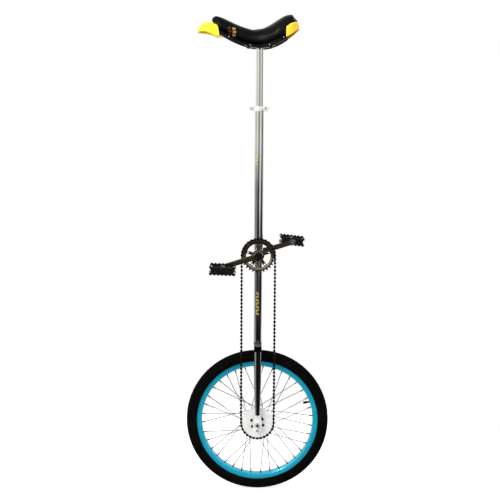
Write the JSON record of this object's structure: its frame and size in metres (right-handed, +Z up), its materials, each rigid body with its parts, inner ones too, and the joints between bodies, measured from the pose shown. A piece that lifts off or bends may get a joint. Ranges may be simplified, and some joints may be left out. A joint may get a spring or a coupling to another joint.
{
  "type": "unicycle",
  "caption": "Tall chain-driven unicycle: one wheel in a slim fork, cranks and pedals halfway up a single tube, curved padded saddle with grab bumpers on a quick-release post.",
  "frame": {"origin": "the tyre's contact point with the ground, straight under the wheel axle", "axes": "+Z up along the frame tube, -X towards the front of the saddle, -Y towards the side with the chain"},
  "size_m": [0.4958, 0.339, 1.6385],
  "materials": {
    "frame_chrome": "bright chrome plate",
    "zinc_steel": "bright zinc plate",
    "dark_steel": "blackened steel",
    "bearing_steel": "ground steel",
    "polished_alloy": "polished",
    "dark_chrome": "chrome plate",
    "chain_black": "oiled black steel",
    "tyre_black": "matt black rubber",
    "tube_rubber": "smooth black rubber",
    "rim_blue": "anodised cyan blue",
    "spoke_steel": "drawn steel",
    "nipple_black": "blackened brass",
    "hub_alloy": "satin alloy",
    "black_plastic": "moulded black plastic",
    "cage_black": "black painted steel",
    "reflector_amber": "amber reflector plastic",
    "saddle_shell_black": "moulded gloss black plastic",
    "saddle_vinyl": "padded black vinyl",
    "bumper_yellow": "moulded lemon yellow plastic"
  },
  "bodies": {
    "frame": {"main_tube_upper": "frame_chrome", "main_tube_lower": "frame_chrome", "fork_crown": "dark_chrome", "fork_leg_near": "frame_chrome", "fork_leg_far": "frame_chrome", "bottom_bracket_shell": "frame_chrome", "dropout_near": "zinc_steel", "dropout_far": "zinc_steel", "bracket_cup_near": "dark_steel", "bracket_cup_far": "dark_steel", "bracket_bearings": "bearing_steel", "seat_clamp_collar": "polished_alloy", "clamp_skewer": "bearing_steel", "clamp_nut": "polished_alloy", "clamp_cam_pin": "bearing_steel", "hub_axle": "bearing_steel", "axle_spacers": "bearing_steel", "chain_tugs": "zinc_steel", "tug_caps": "zinc_steel", "tug_nuts": "dark_steel", "axle_washers": "zinc_steel", "axle_nuts": "polished_alloy", "chain_inner_links": "chain_black", "chain_outer_links": "chain_black"},
    "wheel": {"tyre": "tyre_black", "inner_tube": "tube_rubber", "rim_tape": "tube_rubber", "rim": "rim_blue", "valve_cap": "black_plastic", "spokes_near": "spoke_steel", "spokes_far": "spoke_steel", "spoke_nipples": "nipple_black", "hub_shell": "hub_alloy", "hub_bearings": "bearing_steel", "wheel_sprocket": "zinc_steel", "sprocket_bolts": "dark_steel"},
    "cranks": {"crank_spindle": "bearing_steel", "chainring": "dark_chrome", "crank_near": "dark_chrome", "crank_far": "dark_chrome", "crank_bolts": "dark_steel", "dust_caps": "black_plastic", "pedal_spindle_near": "bearing_steel", "pedal_spindle_far": "bearing_steel"},
    "pedal_near": {"pedal_body_near": "black_plastic", "pedal_cage_near": "cage_black", "pedal_reflectors_near": "reflector_amber", "pedal_end_cap_near": "black_plastic"},
    "pedal_far": {"pedal_body_far": "black_plastic", "pedal_cage_far": "cage_black", "pedal_reflectors_far": "reflector_amber", "pedal_end_cap_far": "black_plastic"},
    "saddle": {"seat_post": "frame_chrome", "saddle_mount_plate": "dark_steel", "saddle_mount_bolts": "dark_steel", "saddle_base": "saddle_shell_black", "saddle_cushion": "saddle_vinyl", "front_handle": "bumper_yellow", "rear_bumper": "bumper_yellow"},
    "clamp_lever": {"quick_release_lever": "polished_alloy"}
  },
  "joints": [
    {"name": "wheel_spin", "type": "hinge", "parent": "frame", "child": "wheel", "pos_m": [0, 0, 0.248], "axis": [0, 1, 0], "continuous": true, "deforming": ["chain_inner_links", "chain_outer_links"]},
    {"name": "crank_spin", "type": "hinge", "parent": "frame", "child": "cranks", "pos_m": [0, 0, 0.8322], "axis": [0, 1, 0], "continuous": true, "deforming": ["chain_inner_links", "chain_outer_links"]},
    {"name": "pedal_near_spin", "type": "hinge", "parent": "cranks", "child": "pedal_near", "pos_m": [-0.11954, -0.12, 0.79565], "axis": [0, 1, 0], "continuous": true},
    {"name": "pedal_far_spin", "type": "hinge", "parent": "cranks", "child": "pedal_far", "pos_m": [0.11954, 0.12, 0.86875], "axis": [0, 1, 0], "continuous": true},
    {"name": "seat_height", "type": "slide", "parent": "frame", "child": "saddle", "axis": [0, 0, 1], "range_m": [-0.17, 0.12]},
    {"name": "quick_release", "type": "hinge", "parent": "frame", "child": "clamp_lever", "pos_m": [0.022, 0.02255, 1.328], "axis": [0, 0, 1], "range_deg": [-150, 0]}
  ],
  "couplings": [
    {"joint": "crank_spin", "follows": "wheel_spin", "ratio": 1}
  ]
}
